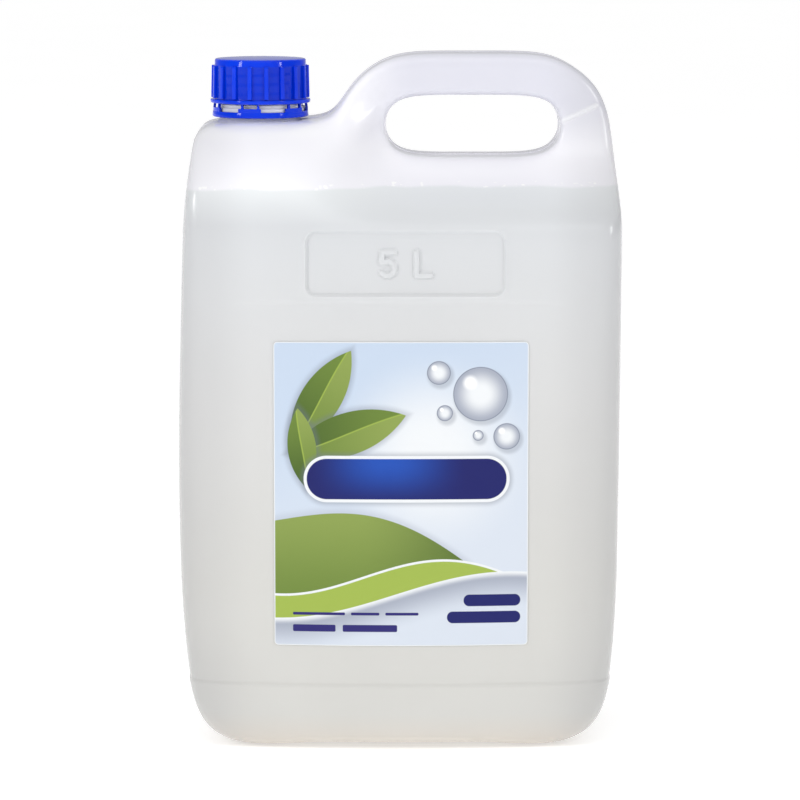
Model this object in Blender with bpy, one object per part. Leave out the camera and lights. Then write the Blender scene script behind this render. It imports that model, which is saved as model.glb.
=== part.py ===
"""A five litre jerry can of liquid hand soap: a blow-moulded body with a moulded-in handle,
a ribbed screw cap with its wad and tamper band, a front label and the soap inside.

Metres, +Z up. The can stands on z = 0, its label faces -Y and its neck is at the -X end.
"""

import math

import bmesh
import bpy
from mathutils import Matrix, Vector
from mathutils.bvhtree import BVHTree

MM = 0.001

# The can's front outline: corners as (x, z, radius) in mm, clockwise from the lower left.
OUTLINE = (
    (-86.5, 0.0, 19.0),
    (-93.0, 38.0, 120.0),
    (-94.5, 115.0, 600.0),
    (-91.2, 228.0, 300.0),
    (-86.4, 265.0, 3.0),
    (-30.0, 265.0, 6.0),
    (-12.2, 294.0, 32.0),
    (87.0, 294.0, 33.5),
    (93.8, 230.0, 250.0),
    (93.0, 36.0, 150.0),
    (87.0, 0.0, 19.0),
)
HANDLE_HOLE = (-7.3, 69.8, 250.0, 276.2)  # left, right, bottom, top
HOLE_RADIUS = 11.5

# Stations of the front sheet's grid, which the hole and the neck's notch are cut from.
COLUMNS = (-94, -70, -57, -42, -27, -7, 6, 22, 39, 56, 69, 94)
ROWS = (0, 30, 80, 130, 180, 219, 228, 240, 250, 263, 276, 294)
SHOULDER_PINCH = (8.0, 5.0)  # how far the stations beside the neck's shoulder move towards its corner: x, z

# Half the can's depth against height, through the handle and through the neck.
HANDLE_SECTION = ((0, 55), (13, 61), (30, 64), (180, 63.5), (219, 63), (228, 61.5), (240, 33), (250, 19), (264, 17))
NECK_SECTION = ((0, 55), (13, 61), (30, 64), (180, 63.5), (219, 63), (240, 59), (252, 49), (264, 30))
CROWN = ((0, 3.0), (60, 4.0), (180, 1.3), (228, 0.4), (240, 0.0))
CROWN_HALF_WIDTH = 55.0
WALL = 1.5
GAP = 0.3

PANEL = (-38.8, 43.8, 195.6, 221.8)  # recess for the capacity mark
PANEL_DEPTH = 1.0
PANEL_RADIUS = 4.0

NECK_X = -59.8
NECK_RADIUS = 17.3
BORE_RADIUS = 15.5
NECK_BOTTOM = 258.0
NECK_RIM = 288.3
BEAD = (268.9, 270.4, 18.8)  # the ridge that holds the tamper band: bottom, top, radius

CAP_TOP = 291.7
CAP_ROOF = 290.1
CAP_BOTTOM = 272.45
CAP_FLANGE_TOP = 274.05
CAP_FLANGE_RADIUS = 21.5
CAP_SKIRT_RADIUS = 19.75
CAP_INNER_RADIUS = 18.5
RIB_TOP = 288.4
RIB_HEIGHT = 1.15
RIB_COUNT = 18
STEPS = 72  # turned steps, so that one rib or bridge is one step wide

BAND_BOTTOM = 266.5
BAND_WINDOW_FLOOR = 269.0
BAND_BLOCK_TOP = 270.6
BAND_RADIUS = 20.75
BAND_INNER_RADIUS = 19.3
BAND_LIP_RADIUS = 18.0
BAND_LIP_TOP = 267.6
BAND_PERIODS = 6

WAD_RADIUS = 18.1
LABEL = (-52.8, 54.1, 46.8, 176.0)  # left, right, bottom, top
LABEL_CORNER = 1.5
LABEL_THICKNESS = 0.25
FILL_LEVEL = 239.0


def clear_scene():
    for item in list(bpy.data.objects):
        bpy.data.objects.remove(item, do_unlink=True)


def material(name, colour, roughness, alpha=1.0):
    made = bpy.data.materials.new(name)
    made.use_nodes = True
    shader = made.node_tree.nodes["Principled BSDF"]
    shader.inputs["Base Color"].default_value = (*colour, 1.0)
    shader.inputs["Roughness"].default_value = roughness
    shader.inputs["Metallic"].default_value = 0.0
    shader.inputs["Alpha"].default_value = alpha
    made.diffuse_color = (*colour, alpha)
    return made


def add_object(name, bm, finish=None, smooth=True):
    """Makes an object from a bmesh in millimetres."""
    bmesh.ops.scale(bm, vec=(MM, MM, MM), verts=bm.verts)
    mesh = bpy.data.meshes.new(name)
    bm.to_mesh(mesh)
    bm.free()
    if finish:
        mesh.materials.append(finish)
    if smooth:
        mesh.shade_smooth()
        mesh.set_sharp_from_angle(angle=math.radians(35))
    made = bpy.data.objects.new(name, mesh)
    bpy.context.collection.objects.link(made)
    return made


def as_cutter(item):
    item.hide_render = True
    item.display_type = "WIRE"
    return item


def boolean(item, operation, other):
    added = item.modifiers.new(operation.lower(), "BOOLEAN")
    added.operation = operation
    added.object = other
    added.solver = "EXACT"


def interpolate(table, at):
    """A value from a table of (position, value) pairs, held flat past its ends."""
    if at <= table[0][0]:
        return table[0][1]
    for (low, first), (high, second) in zip(table, table[1:]):
        if at <= high:
            return first + (second - first) * (at - low) / (high - low)
    return table[-1][1]


def smoothstep(low, high, at):
    t = min(1.0, max(0.0, (at - low) / (high - low)))
    return t * t * (3 - 2 * t)


def rounded(corners, step=math.radians(4)):
    """The closed polyline of a polygon whose corners are arcs."""
    points = []
    count = len(corners)
    for i, (x, z, radius) in enumerate(corners):
        here = Vector((x, z))
        back = (Vector(corners[i - 1][:2]) - here).normalized()
        ahead = (Vector(corners[(i + 1) % count][:2]) - here).normalized()
        half = back.angle(ahead) / 2
        centre = here + (back + ahead).normalized() * radius / math.sin(half)
        start = here + back * radius / math.tan(half) - centre
        end = here + ahead * radius / math.tan(half) - centre
        sweep = start.angle_signed(end)
        pieces = max(2, math.ceil(abs(sweep) / step))
        for k in range(pieces + 1):
            angle = -sweep * k / pieces
            turned = Matrix.Rotation(angle, 2) @ start
            points.append(centre + turned)
    return points


def nearest_on(points, at):
    """The closest point of a closed polyline."""
    best = None
    for a, b in zip(points, points[1:] + points[:1]):
        along = b - a
        if along.length_squared < 1e-9:
            continue
        t = min(1.0, max(0.0, (at - a).dot(along) / along.length_squared))
        found = a + along * t
        if best is None or (found - at).length_squared < (best - at).length_squared:
            best = found
    return best


def handle_share(x):
    """0 on the neck's side of the can, 1 through the handle."""
    return smoothstep(-38, -4, x)


def half_depth(x, z):
    share = handle_share(x)
    depth = interpolate(HANDLE_SECTION, z) * share + interpolate(NECK_SECTION, z) * (1 - share)
    return depth - interpolate(CROWN, z) * (x / CROWN_HALF_WIDTH) ** 2


def rounding(x, z, sideways):
    """How far the flat front stops short of the outline: more at the sides than under the base."""
    full = 13 + 8 * sideways
    small = 8 + 3 * (1 - handle_share(x))
    return full + (small - full) * smoothstep(205, 250, z)


def hole_corners():
    left, right, bottom, top = HANDLE_HOLE
    return [(x, z, HOLE_RADIUS) for x, z in ((left, bottom), (left, top), (right, top), (right, bottom))]


def front_sheet():
    """The flat front sheet: a grid fitted to the outline, with the hole and the notch left out."""
    bm = bmesh.new()
    bmesh.ops.create_grid(bm, x_segments=len(COLUMNS) - 1, y_segments=len(ROWS) - 1, size=0.5)
    for v in bm.verts:
        column = round((v.co.x + 0.5) * (len(COLUMNS) - 1))
        row = round((v.co.y + 0.5) * (len(ROWS) - 1))
        v.co = (COLUMNS[column], 0, ROWS[row])
        if (COLUMNS[column], ROWS[row]) == (COLUMNS[1], 263):
            v.co.x -= SHOULDER_PINCH[0]
        elif (COLUMNS[column], ROWS[row]) == (COLUMNS[0], 250):
            v.co.z += SHOULDER_PINCH[1]
    left, right, bottom, top = HANDLE_HOLE
    unwanted = []
    for face in bm.faces:
        x, _, z = face.calc_center_median()
        in_hole = left < x < right and bottom < z < top
        in_notch = x < -27 and z > 263
        if in_hole or in_notch:
            unwanted.append(face)
    bmesh.ops.delete(bm, geom=unwanted, context="FACES")
    outline = rounded(OUTLINE)
    hole = rounded(hole_corners())
    for v in bm.verts:
        if v.is_boundary:
            at = Vector((v.co.x, v.co.z))
            around_hole = left - 1 < at.x < right + 1 and bottom - 1 < at.y < top + 1
            found = nearest_on(hole if around_hole else outline, at)
            v.co = (found.x, 0, found.y)
    return bm


def in_hole_region(co):
    left, right, bottom, top = HANDLE_HOLE
    return left - 1 < co.x < right + 1 and bottom - 1 < co.z < top + 1


def body_cage():
    """The control cage of the can's outside, closed, for a Subdivision Surface."""
    bm = front_sheet()
    rim = bmesh.ops.inset_region(
        bm, faces=bm.faces[:], thickness=4.0, use_boundary=True, use_even_offset=True
    )["faces"]
    for edge in {e for f in rim for e in f.edges}:
        outer = [v for v in edge.verts if v.is_boundary]
        if len(outer) == 1 and not edge.is_boundary:
            start = outer[0]
            ring = edge.other_vert(start)
            inward = (ring.co - start.co).normalized()
            if in_hole_region(start.co):
                reach = 5.0
            else:
                reach = rounding(start.co.x, start.co.z, abs(inward.x))
            ring.co = start.co + inward * reach
    for v in bm.verts:
        v.co.y = -half_depth(v.co.x, v.co.z)
    edges = [e for e in bm.edges if e.is_boundary]
    for last in (False, True):
        made = bmesh.ops.extrude_edge_only(bm, edges=edges)["geom"]
        edges = [g for g in made if isinstance(g, bmesh.types.BMEdge)]
        for v in [g for g in made if isinstance(g, bmesh.types.BMVert)]:
            reach = 5.5 if in_hole_region(v.co) else rounding(v.co.x, v.co.z, 0.9)
            v.co.y = 0.0 if last else v.co.y + reach
    bmesh.ops.mirror(bm, geom=bm.verts[:] + bm.edges[:] + bm.faces[:], axis="Y", merge_dist=0.001)
    bmesh.ops.recalc_face_normals(bm, faces=bm.faces)
    return bm


def body_form(name, inset=0.0):
    """The can's outside, or a copy that lies this far inside it."""
    made = add_object(name, body_cage())
    smooth = made.modifiers.new("subdivision", "SUBSURF")
    smooth.levels = 1
    smooth.render_levels = 1
    if inset:
        shrink = made.modifiers.new("inset", "DISPLACE")
        shrink.mid_level = 0.0
        shrink.strength = -inset * MM
    return made


def turned(profile, steps=STEPS, about=NECK_X):
    """A closed ring or disc turned from (radius, z) points listed down the outer side."""
    bm = bmesh.new()
    verts = [bm.verts.new((radius, 0, z)) for radius, z in profile]
    edges = [bm.edges.new((a, b)) for a, b in zip(verts, verts[1:] + verts[:1])]
    bmesh.ops.spin(
        bm, geom=verts + edges, axis=(0, 0, 1), cent=(0, 0, 0),
        steps=steps, angle=math.tau, use_merge=True,
    )
    bmesh.ops.remove_doubles(bm, verts=bm.verts, dist=0.001)
    bmesh.ops.recalc_face_normals(bm, faces=bm.faces)
    bmesh.ops.translate(bm, vec=(about, 0, 0), verts=bm.verts)
    return bm


def step_of(face):
    """Which of the turned steps a face of a turned piece lies in."""
    centre = face.calc_center_median()
    angle = math.atan2(centre.y, centre.x - NECK_X) % math.tau
    return int(angle / (math.tau / STEPS))


def panel_block(name, shrink, back):
    """A block with rounded corners that fills the recess on the can's front, from -Y in to the depth back."""
    left, right, bottom, top = PANEL
    corners = [(left, bottom), (left, top), (right, top), (right, bottom)]
    middle = Vector(((left + right) / 2, (bottom + top) / 2))
    grown = []
    for x, z in corners:
        grown.append((
            x + math.copysign(shrink, x - middle.x),
            z + math.copysign(shrink, z - middle.y),
            PANEL_RADIUS + max(0.0, shrink),
        ))
    bm = bmesh.new()
    verts = [bm.verts.new((p.x, -90, p.y)) for p in rounded(grown, math.radians(23))]
    face = bm.faces.new(verts)
    made = bmesh.ops.extrude_face_region(bm, geom=[face])["geom"]
    for v in [g for g in made if isinstance(g, bmesh.types.BMVert)]:
        v.co.y = -back
    bmesh.ops.recalc_face_normals(bm, faces=bm.faces)
    return as_cutter(add_object(name, bm, smooth=False))


def make_body(finish):
    """The hollow can: outside and neck, less the mark's recess, the hollow and the neck's bore."""
    body = body_form("bottle_body")
    body.data.materials.append(finish)
    bead_bottom, bead_top, bead_radius = BEAD
    neck = turned([
        (0.0, NECK_RIM), (NECK_RADIUS - 0.6, NECK_RIM), (NECK_RADIUS, NECK_RIM - 0.6),
        (NECK_RADIUS, bead_top + 0.9), (bead_radius, bead_top), (bead_radius, bead_bottom),
        (NECK_RADIUS, bead_bottom), (NECK_RADIUS, NECK_BOTTOM), (0.0, NECK_BOTTOM),
    ], steps=48)
    boolean(body, "UNION", as_cutter(add_object("neck_form", neck)))
    face = half_depth(0, sum(PANEL[2:]) / 2)
    boolean(body, "DIFFERENCE", panel_block("panel_recess", 0.0, face - PANEL_DEPTH))
    hollow = as_cutter(body_form("hollow_form", WALL))
    boolean(hollow, "DIFFERENCE", panel_block("panel_wall", WALL, face - PANEL_DEPTH - WALL))
    boolean(body, "DIFFERENCE", hollow)
    bore = turned([
        (0.0, NECK_RIM + 5), (BORE_RADIUS, NECK_RIM + 5), (BORE_RADIUS, NECK_BOTTOM - 4),
        (0.0, NECK_BOTTOM - 4),
    ], steps=48)
    boolean(body, "DIFFERENCE", as_cutter(add_object("neck_bore", bore)))
    return body


def make_soap(finish):
    """The soap: the can's hollow up to the fill level, clear of the wall."""
    soap = body_form("liquid_soap", WALL + GAP)
    soap.data.materials.append(finish)
    face = half_depth(0, sum(PANEL[2:]) / 2)
    boolean(soap, "DIFFERENCE", panel_block("panel_clearance", WALL + GAP, face - PANEL_DEPTH - WALL - GAP))
    bm = bmesh.new()
    bmesh.ops.create_cube(bm, size=1.0)
    bmesh.ops.scale(bm, vec=(240, 200, FILL_LEVEL + 40), verts=bm.verts)
    bmesh.ops.translate(bm, vec=(0, 0, (FILL_LEVEL - 40) / 2), verts=bm.verts)
    boolean(soap, "INTERSECT", as_cutter(add_object("fill_block", bm, smooth=False)))
    return soap


def make_cap(finish):
    """The screw cap: a turned shell with one rib raised on every fourth step of its skirt."""
    bm = turned([
        (0.0, CAP_TOP), (CAP_SKIRT_RADIUS - 1.1, CAP_TOP), (CAP_SKIRT_RADIUS - 0.3, CAP_TOP - 0.7),
        (CAP_SKIRT_RADIUS - 0.2, RIB_TOP), (CAP_SKIRT_RADIUS, CAP_FLANGE_TOP),
        (CAP_FLANGE_RADIUS, CAP_FLANGE_TOP), (CAP_FLANGE_RADIUS, CAP_BOTTOM),
        (CAP_INNER_RADIUS, CAP_BOTTOM), (CAP_INNER_RADIUS, CAP_ROOF), (0.0, CAP_ROOF),
    ])
    skirt = []
    for face in bm.faces:
        centre = face.calc_center_median()
        radius = math.hypot(centre.x - NECK_X, centre.y)
        on_skirt = radius > CAP_INNER_RADIUS + 0.5 and CAP_FLANGE_TOP + 1 < centre.z < RIB_TOP - 1
        if on_skirt and step_of(face) % (STEPS // RIB_COUNT) == 0:
            skirt.append(face)
    for face in skirt:
        outward = face.normal.copy()
        raised = bmesh.ops.extrude_face_region(bm, geom=[face])["geom"]
        bmesh.ops.delete(bm, geom=[face], context="FACES_ONLY")
        verts = [g for g in raised if isinstance(g, bmesh.types.BMVert)]
        bmesh.ops.translate(bm, vec=outward * RIB_HEIGHT, verts=verts)
    bmesh.ops.recalc_face_normals(bm, faces=bm.faces)
    return add_object("screw_cap", bm, finish)


def make_band(finish):
    """The tamper band: a ring with blocks left between its windows, and a bridge at each end of a block."""
    bm = turned([
        (BAND_RADIUS - 0.15, BAND_WINDOW_FLOOR), (BAND_RADIUS, BAND_BOTTOM + 0.4),
        (BAND_RADIUS - 0.3, BAND_BOTTOM), (BAND_LIP_RADIUS, BAND_BOTTOM), (BAND_LIP_RADIUS, BAND_LIP_TOP),
        (BAND_INNER_RADIUS, BAND_LIP_TOP + 0.3), (BAND_INNER_RADIUS, BAND_WINDOW_FLOOR),
    ])
    period = STEPS // BAND_PERIODS
    block = period // 2

    def raise_steps(floor, top, steps):
        faces = []
        for face in bm.faces:
            if face.normal.z > 0.9 and abs(face.calc_center_median().z - floor) < 0.01:
                if step_of(face) % period in steps:
                    faces.append(face)
        raised = bmesh.ops.extrude_face_region(bm, geom=faces)["geom"]
        bmesh.ops.delete(bm, geom=faces, context="FACES_ONLY")
        for v in [g for g in raised if isinstance(g, bmesh.types.BMVert)]:
            v.co.z = top
        bm.normal_update()

    raise_steps(BAND_WINDOW_FLOOR, BAND_BLOCK_TOP, range(block))
    raise_steps(BAND_BLOCK_TOP, CAP_BOTTOM - GAP, (0, block - 1))
    bmesh.ops.recalc_face_normals(bm, faces=bm.faces)
    return add_object("tamper_band", bm, finish)


def make_wad(finish):
    """The sealing wad between the neck's rim and the cap's roof."""
    top = CAP_ROOF - GAP
    bottom = NECK_RIM + GAP
    bm = turned([(0.0, top), (WAD_RADIUS, top), (WAD_RADIUS, bottom), (0.0, bottom)], steps=48)
    return add_object("cap_liner", bm, finish)


def make_label(finish, body):
    """The label: a thin sheet laid just off the can's crowned front."""
    left, right, bottom, top = LABEL
    graph = bpy.context.evaluated_depsgraph_get()
    front = BVHTree.FromObject(body, graph)
    bm = bmesh.new()
    bmesh.ops.create_grid(bm, x_segments=12, y_segments=14, size=0.5)
    for v in bm.verts:
        x = left + (right - left) * (v.co.x + 0.5)
        z = bottom + (top - bottom) * (v.co.y + 0.5)
        hit = front.ray_cast(Vector((x, -200, z)) * MM, Vector((0, 1, 0)))[0]
        v.co = (x, hit.y / MM - GAP, z)
    corners = [v for v in bm.verts if len(v.link_faces) == 1]
    bmesh.ops.bevel(
        bm, geom=corners, offset=LABEL_CORNER, offset_type="OFFSET", segments=2,
        profile=0.5, affect="VERTICES", material=-1,
    )
    sheet = bmesh.ops.extrude_face_region(bm, geom=bm.faces[:])["geom"]
    for v in [g for g in sheet if isinstance(g, bmesh.types.BMVert)]:
        v.co.y -= LABEL_THICKNESS
    bmesh.ops.recalc_face_normals(bm, faces=bm.faces)
    return add_object("front_label", bm, finish)


def main():
    clear_scene()
    cap_blue = material("cap_blue", (0.005, 0.06, 0.62), 0.25)
    body = make_body(material("natural_hdpe", (0.86, 0.87, 0.89), 0.35, 0.6))
    make_soap(material("pearl_soap", (0.72, 0.73, 0.72), 0.2))
    cap = make_cap(cap_blue)
    make_band(cap_blue)
    make_wad(material("white_foam", (0.9, 0.9, 0.9), 0.7))
    make_label(material("printed_film", (0.72, 0.78, 0.86), 0.3), body)
    axis = Vector((NECK_X * MM, 0, CAP_BOTTOM * MM))
    cap.data.transform(Matrix.Translation(-axis))
    cap.location = axis


main()
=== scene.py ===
# Five litre jerry can of liquid hand soap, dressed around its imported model.
# Lengths are in millimetres until an object is made. The label faces -Y, the neck is at -X.

import math

import bmesh
import bpy
from mathutils import Matrix, Vector
from mathutils.bvhtree import BVHTree


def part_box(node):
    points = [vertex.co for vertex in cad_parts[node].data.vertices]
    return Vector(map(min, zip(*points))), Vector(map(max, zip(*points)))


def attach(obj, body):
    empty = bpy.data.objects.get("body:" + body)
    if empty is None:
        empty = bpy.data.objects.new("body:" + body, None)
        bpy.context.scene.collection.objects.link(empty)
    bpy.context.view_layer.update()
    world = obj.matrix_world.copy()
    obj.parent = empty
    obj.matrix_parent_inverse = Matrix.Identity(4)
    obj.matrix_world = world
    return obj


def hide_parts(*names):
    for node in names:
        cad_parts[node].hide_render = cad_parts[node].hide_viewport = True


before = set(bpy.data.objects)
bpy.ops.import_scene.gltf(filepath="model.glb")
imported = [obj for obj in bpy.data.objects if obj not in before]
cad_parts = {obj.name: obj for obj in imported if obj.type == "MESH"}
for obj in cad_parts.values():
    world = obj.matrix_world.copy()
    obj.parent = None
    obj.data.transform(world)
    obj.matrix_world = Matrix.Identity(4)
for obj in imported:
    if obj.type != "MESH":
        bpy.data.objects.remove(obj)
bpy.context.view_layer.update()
print("frame loaded")

mm = 0.001

bandLow, bandHigh = (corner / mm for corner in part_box("tamper_band"))
capLow, capHigh = (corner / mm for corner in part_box("screw_cap"))
labelLow, labelHigh = (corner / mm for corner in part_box("front_label"))
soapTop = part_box("liquid_soap")[1].z / mm
neckX = (capLow.x + capHigh.x) / 2
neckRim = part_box("cap_liner")[0].z / mm - 0.3


def smoothStep(low, high, at):
    t = min(1.0, max(0.0, (at - low) / (high - low)))
    return t * t * (3 - 2 * t)


def lookUp(table, at):
    # value from (position, value) pairs, held flat past the ends
    if at <= table[0][0]:
        return table[0][1]
    for (low, first), (high, second) in zip(table, table[1:]):
        if at <= high:
            return first + (second - first) * (at - low) / (high - low)
    return table[-1][1]


def roundBoxGap(x, z, box, radius):
    # distance from the edge of a rounded box (left, right, bottom, top), negative inside it
    left, right, bottom, top = box
    across = abs(x - (left + right) / 2) - (right - left) / 2 + radius
    up = abs(z - (bottom + top) / 2) - (top - bottom) / 2 + radius
    outside = math.hypot(max(across, 0), max(up, 0))
    return outside + min(max(across, up), 0) - radius


def roundedCorners(corners, step):
    # closed polyline of a polygon of (x, z, radius) corners, each turned into an arc
    points = []
    for i, (x, z, radius) in enumerate(corners):
        here = Vector((x, z))
        back = (Vector(corners[i - 1][:2]) - here).normalized()
        ahead = (Vector(corners[(i + 1) % len(corners)][:2]) - here).normalized()
        half = back.angle(ahead) / 2
        centre = here + (back + ahead).normalized() * radius / math.sin(half)
        start = here + back * radius / math.tan(half) - centre
        end = here + ahead * radius / math.tan(half) - centre
        sweep = start.angle_signed(end)
        pieces = max(2, math.ceil(abs(sweep) / step))
        for k in range(pieces + 1):
            points.append(centre + Matrix.Rotation(-sweep * k / pieces, 2) @ start)
    return points


def nearestOn(points, at):
    # closest point of a closed polyline
    best = None
    for a, b in zip(points, points[1:] + points[:1]):
        along = b - a
        if along.length_squared < 1e-9:
            continue
        t = min(1.0, max(0.0, (at - a).dot(along) / along.length_squared))
        found = a + along * t
        if best is None or (found - at).length_squared < (best - at).length_squared:
            best = found
    return best


def newObject(name, bm, finish=None, sharpAngle=40):
    # object at the origin from a bmesh in millimetres
    bmesh.ops.scale(bm, vec=(mm, mm, mm), verts=bm.verts)
    mesh = bpy.data.meshes.new(name)
    bm.to_mesh(mesh)
    bm.free()
    mesh.shade_smooth()
    mesh.set_sharp_from_angle(angle=math.radians(sharpAngle))
    if finish:
        mesh.materials.append(finish)
    made = bpy.data.objects.new(name, mesh)
    bpy.context.scene.collection.objects.link(made)
    return made


def finishedMesh(item):
    # bmesh in millimetres of an object with its modifiers carried out; the object goes
    graph = bpy.context.evaluated_depsgraph_get()
    bm = bmesh.new()
    bm.from_object(item, graph)
    bmesh.ops.scale(bm, vec=(1 / mm, 1 / mm, 1 / mm), verts=bm.verts)
    bpy.data.objects.remove(item)
    return bm


def vertsIn(result):
    return [g for g in result["geom"] if isinstance(g, bmesh.types.BMVert)]


def cutAcross(bm, normal, places, wanted=None):
    # cuts faces by parallel planes, so that a small form has edges to follow
    normal = Vector(normal).normalized()
    faces = [f for f in bm.faces if wanted is None or wanted(f.calc_center_median())]
    geom = set(faces)
    for f in faces:
        geom.update(f.edges)
        geom.update(f.verts)
    geom = list(geom)
    for place in places:
        geom = bmesh.ops.bisect_plane(
            bm, geom=geom, dist=0.0001, plane_co=normal * place, plane_no=normal
        )["geom"]


def spinRound(profile, steps):
    # turns a profile of (radius, z) points about Z: a ring, or a disc if it starts and ends on the axis
    bm = bmesh.new()
    verts = [bm.verts.new((radius, 0, z)) for radius, z in profile]
    ends = verts[1:] + verts[:1] if profile[0][0] > 0 else verts[1:]
    edges = [bm.edges.new(pair) for pair in zip(verts, ends)]
    bmesh.ops.spin(
        bm, geom=verts + edges, axis=(0, 0, 1), cent=(0, 0, 0),
        steps=steps, angle=math.tau, use_merge=True,
    )
    bmesh.ops.remove_doubles(bm, verts=bm.verts, dist=0.001)
    bmesh.ops.recalc_face_normals(bm, faces=bm.faces)
    return bm


def roundProfile(points, steps=4):
    # open profile of (radius, z, rounding) points with every corner turned into an arc
    made = []
    for i, (r, z, rounding) in enumerate(points):
        if not rounding or i in (0, len(points) - 1):
            made.append((r, z))
            continue
        here = Vector((r, z))
        back = (Vector(points[i - 1][:2]) - here).normalized() * rounding
        ahead = (Vector(points[i + 1][:2]) - here).normalized() * rounding
        for k in range(steps + 1):
            t = k / steps
            at = here + back * (1 - t) ** 2 + ahead * t ** 2
            made.append((at.x, at.y))
    return made


def newMaterial(name, **plain):
    # material with its uniform numbers set on the shader's own sockets
    made = bpy.data.materials.new(name)
    made.use_nodes = True
    shader = made.node_tree.nodes["Principled BSDF"]
    for socket, value in plain.items():
        shader.inputs[socket.replace("_", " ")].default_value = value
    return made, made.node_tree, shader


def feed(tree, value, socket):
    if isinstance(value, bpy.types.NodeSocket):
        tree.links.new(value, socket)
    else:
        socket.default_value = value


def maths(tree, operation, *values):
    made = tree.nodes.new("ShaderNodeMath")
    made.operation = operation
    for value, socket in zip(values, made.inputs):
        feed(tree, value, socket)
    return made.outputs[0]


def ramp(tree, value, low, high, first=0.0, last=1.0):
    made = tree.nodes.new("ShaderNodeMapRange")
    made.interpolation_type = "SMOOTHSTEP"
    for at, given in enumerate((value, low, high, first, last)):
        feed(tree, given, made.inputs[at])
    return made.outputs[0]


def mixed(tree, share, first, second, blend="MIX"):
    made = tree.nodes.new("ShaderNodeMix")
    made.data_type = "RGBA"
    made.blend_type = blend
    feed(tree, share, made.inputs["Factor"])
    feed(tree, first, made.inputs[6])
    feed(tree, second, made.inputs[7])
    return made.outputs[2]


def colourBands(tree, value, stops):
    made = tree.nodes.new("ShaderNodeValToRGB")
    band = made.color_ramp
    while len(band.elements) < len(stops):
        band.elements.new(0.5)
    for element, (place, colour) in zip(band.elements, stops):
        element.position = place
        element.color = colour
    feed(tree, value, made.inputs["Fac"])
    return made.outputs["Color"]


def placeInMm(tree):
    # x, y and z on the object in millimetres
    coordinates = tree.nodes.new("ShaderNodeTexCoord")
    split = tree.nodes.new("ShaderNodeSeparateXYZ")
    tree.links.new(coordinates.outputs["Object"], split.inputs[0])
    return [maths(tree, "DIVIDE", axis, mm) for axis in split.outputs]


def noiseOf(tree, scale, detail=2.0, stretch=(1, 1, 1)):
    # noise on Object coordinates; scale counts its features along a metre
    coordinates = tree.nodes.new("ShaderNodeTexCoord")
    mapping = tree.nodes.new("ShaderNodeMapping")
    mapping.inputs["Scale"].default_value = stretch
    tree.links.new(coordinates.outputs["Object"], mapping.inputs["Vector"])
    made = tree.nodes.new("ShaderNodeTexNoise")
    made.inputs["Scale"].default_value = scale
    made.inputs["Detail"].default_value = detail
    tree.links.new(mapping.outputs[0], made.inputs["Vector"])
    return made.outputs["Fac"]


def addBump(tree, shader, height, distance, strength):
    made = tree.nodes.new("ShaderNodeBump")
    made.inputs["Strength"].default_value = strength
    made.inputs["Distance"].default_value = distance
    tree.links.new(height, made.inputs["Height"])
    tree.links.new(made.outputs[0], shader.inputs["Normal"])


def grey(level):
    return (level, level, level, 1.0)


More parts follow.
